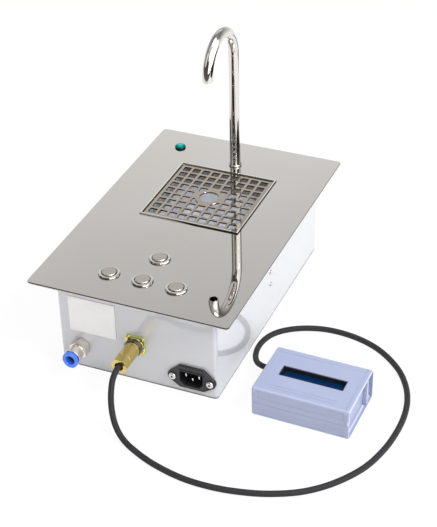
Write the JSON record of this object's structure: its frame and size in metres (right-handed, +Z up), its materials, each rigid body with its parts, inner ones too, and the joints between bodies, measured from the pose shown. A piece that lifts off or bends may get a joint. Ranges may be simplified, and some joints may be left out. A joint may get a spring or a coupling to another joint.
{
  "type": "milk dispenser",
  "caption": "Counter-top milk dispenser: mirror steel plate with gooseneck spout, drip grille and push buttons over a white box that holds a hose pump, with a wired display case.",
  "frame": {"origin": "centre of the housing's underside, on the surface it stands on", "axes": "+Z up, +X to the right along the connector side, +Y from the connector side towards the spout"},
  "size_m": [0.3738, 0.4289, 0.283],
  "materials": {
    "mirror_steel": "mirror polished",
    "plain_steel": "satin",
    "white_enamel": "gloss",
    "pale_rubber": "matte",
    "label_film": "matte",
    "black_rubber": "matte",
    "green_lens": "gloss",
    "nickel": "nickel plated",
    "blue_plastic": "gloss",
    "yellow_chromate": "yellow passivated",
    "dark_steel": "dark plated",
    "brass": "satin",
    "black_plastic": "satin",
    "zinc_sheet": "zinc plated",
    "motor_can": "satin",
    "white_nylon": "satin",
    "silicone": "satin",
    "circuit_board": "satin",
    "black_braid": "braided",
    "lilac_plastic": "satin",
    "lcd_blue": "gloss"
  },
  "bodies": {
    "root": {"top_plate": "mirror_steel", "housing": "white_enamel", "rim_seal": "pale_rubber", "bottom_cover": "white_enamel", "rating_label": "label_film", "drip_tray": "plain_steel", "spout_ring": "black_rubber", "spout_bush": "plain_steel", "spout_nut": "plain_steel", "button_1_body": "mirror_steel", "button_2_body": "mirror_steel", "button_3_body": "mirror_steel", "button_4_body": "mirror_steel", "button_1_spring": "plain_steel", "button_2_spring": "plain_steel", "button_3_spring": "plain_steel", "button_4_spring": "plain_steel", "indicator_lens": "green_lens", "indicator_nut": "plain_steel", "inlet_fitting": "nickel", "inlet_locknut": "nickel", "socket_flange": "yellow_chromate", "backshell": "brass", "power_inlet": "black_plastic", "inlet_screw_1": "plain_steel", "inlet_screw_2": "plain_steel", "side_rivet_1": "plain_steel", "side_rivet_2": "plain_steel", "pump_bracket": "zinc_sheet", "pump_motor": "motor_can", "pump_head": "white_nylon", "pump_tube": "silicone", "inlet_joiner": "white_nylon", "outlet_joiner": "white_nylon", "inlet_hose": "silicone", "outlet_hose": "silicone", "power_supply": "zinc_sheet", "control_board": "circuit_board", "display_cable": "black_braid", "cable_grommet": "black_rubber", "display_case_top": "lilac_plastic", "display_case_bottom": "lilac_plastic", "display_end_left": "lilac_plastic", "display_end_right": "lilac_plastic", "lcd_bezel": "black_plastic", "lcd_glass": "lcd_blue"},
    "grille": {"drip_grille": "mirror_steel"},
    "spout": {"spout_tube": "mirror_steel"},
    "cap_1": {"button_1_cap": "mirror_steel"},
    "cap_2": {"button_2_cap": "mirror_steel"},
    "cap_3": {"button_3_cap": "mirror_steel"},
    "cap_4": {"button_4_cap": "mirror_steel"},
    "collar": {"inlet_collar": "blue_plastic"},
    "ring": {"coupling_ring": "dark_steel"},
    "rotor": {"pump_rotor": "plain_steel"},
    "roller_1": {"pump_roller_1": "white_nylon"},
    "roller_2": {"pump_roller_2": "white_nylon"},
    "roller_3": {"pump_roller_3": "white_nylon"}
  },
  "joints": [
    {"name": "grille_lift", "type": "slide", "parent": "root", "child": "grille", "axis": [0, 0, 1], "range_m": [0, 0.05]},
    {"name": "spout_swivel", "type": "hinge", "parent": "root", "child": "spout", "pos_m": [0, 0.1164, 0.1063], "axis": [0, 0, 1], "range_deg": [-90, 90]},
    {"name": "button_1_press", "type": "slide", "parent": "root", "child": "cap_1", "axis": [0, 0, -1], "range_m": [0, 0.0015], "stiffness_N_per_m": 800, "springref_m": -0.002, "deforming": ["button_1_spring"]},
    {"name": "button_2_press", "type": "slide", "parent": "root", "child": "cap_2", "axis": [0, 0, -1], "range_m": [0, 0.0015], "stiffness_N_per_m": 800, "springref_m": -0.002, "deforming": ["button_2_spring"]},
    {"name": "button_3_press", "type": "slide", "parent": "root", "child": "cap_3", "axis": [0, 0, -1], "range_m": [0, 0.0015], "stiffness_N_per_m": 800, "springref_m": -0.002, "deforming": ["button_3_spring"]},
    {"name": "button_4_press", "type": "slide", "parent": "root", "child": "cap_4", "axis": [0, 0, -1], "range_m": [0, 0.0015], "stiffness_N_per_m": 800, "springref_m": -0.002, "deforming": ["button_4_spring"]},
    {"name": "collar_press", "type": "slide", "parent": "root", "child": "collar", "axis": [0, 1, 0], "range_m": [0, 0.0012], "stiffness_N_per_m": 1500, "springref_m": -0.002},
    {"name": "ring_lock", "type": "hinge", "parent": "root", "child": "ring", "pos_m": [-0.0005, -0.1495, 0.0451], "axis": [0, -1, 0], "range_deg": [0, 90]},
    {"name": "rotor_spin", "type": "hinge", "parent": "root", "child": "rotor", "pos_m": [0.053, 0.0105, 0.04055], "axis": [0, -1, 0], "continuous": true},
    {"name": "roller_1_spin", "type": "hinge", "parent": "rotor", "child": "roller_1", "pos_m": [0.04665, 0.0036, 0.05155], "axis": [0, -1, 0], "continuous": true},
    {"name": "roller_2_spin", "type": "hinge", "parent": "rotor", "child": "roller_2", "pos_m": [0.04665, 0.0036, 0.02955], "axis": [0, -1, 0], "continuous": true},
    {"name": "roller_3_spin", "type": "hinge", "parent": "rotor", "child": "roller_3", "pos_m": [0.0657, 0.0036, 0.04055], "axis": [0, -1, 0], "continuous": true}
  ],
  "couplings": [
    {"joint": "roller_1_spin", "follows": "rotor_spin", "ratio": -3.54},
    {"joint": "roller_2_spin", "follows": "rotor_spin", "ratio": -3.54},
    {"joint": "roller_3_spin", "follows": "rotor_spin", "ratio": -3.54}
  ]
}
